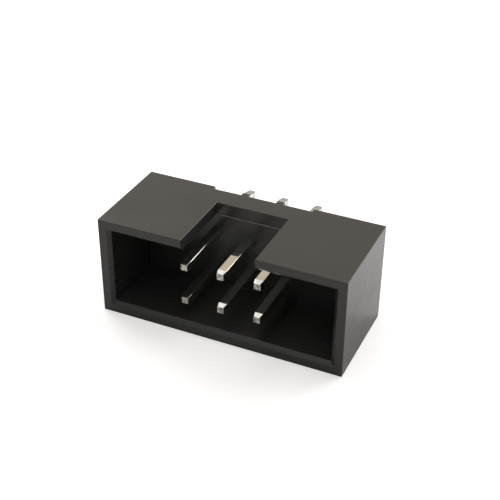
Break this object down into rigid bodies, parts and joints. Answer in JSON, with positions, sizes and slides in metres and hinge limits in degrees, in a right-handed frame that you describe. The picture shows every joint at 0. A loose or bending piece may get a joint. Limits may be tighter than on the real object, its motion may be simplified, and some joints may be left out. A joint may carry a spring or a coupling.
{
  "type": "shrouded box header",
  "caption": "Shrouded pin header for a circuit board: an open rectangular housing with a keying slot in one long wall, round rows of square pins with straight solder tails.",
  "frame": {"origin": "in the board face, at the middle of the pin pattern", "axes": "+X along the pin rows, +Y the way the solder tails point, away from the mouth, +Z towards the slotted wall, which is up as the header lies on its plain long wall"},
  "size_m": [0.0134, 0.0086, 0.0056],
  "materials": {
    "housing_plastic": "satin black glass-filled moulding",
    "pin_plating": "bright tin plating over brass"
  },
  "bodies": {
    "root": {"housing": "housing_plastic", "pin_1": "pin_plating", "pin_2": "pin_plating", "pin_3": "pin_plating", "pin_4": "pin_plating", "pin_5": "pin_plating", "pin_6": "pin_plating"}
  },
  "joints": []
}
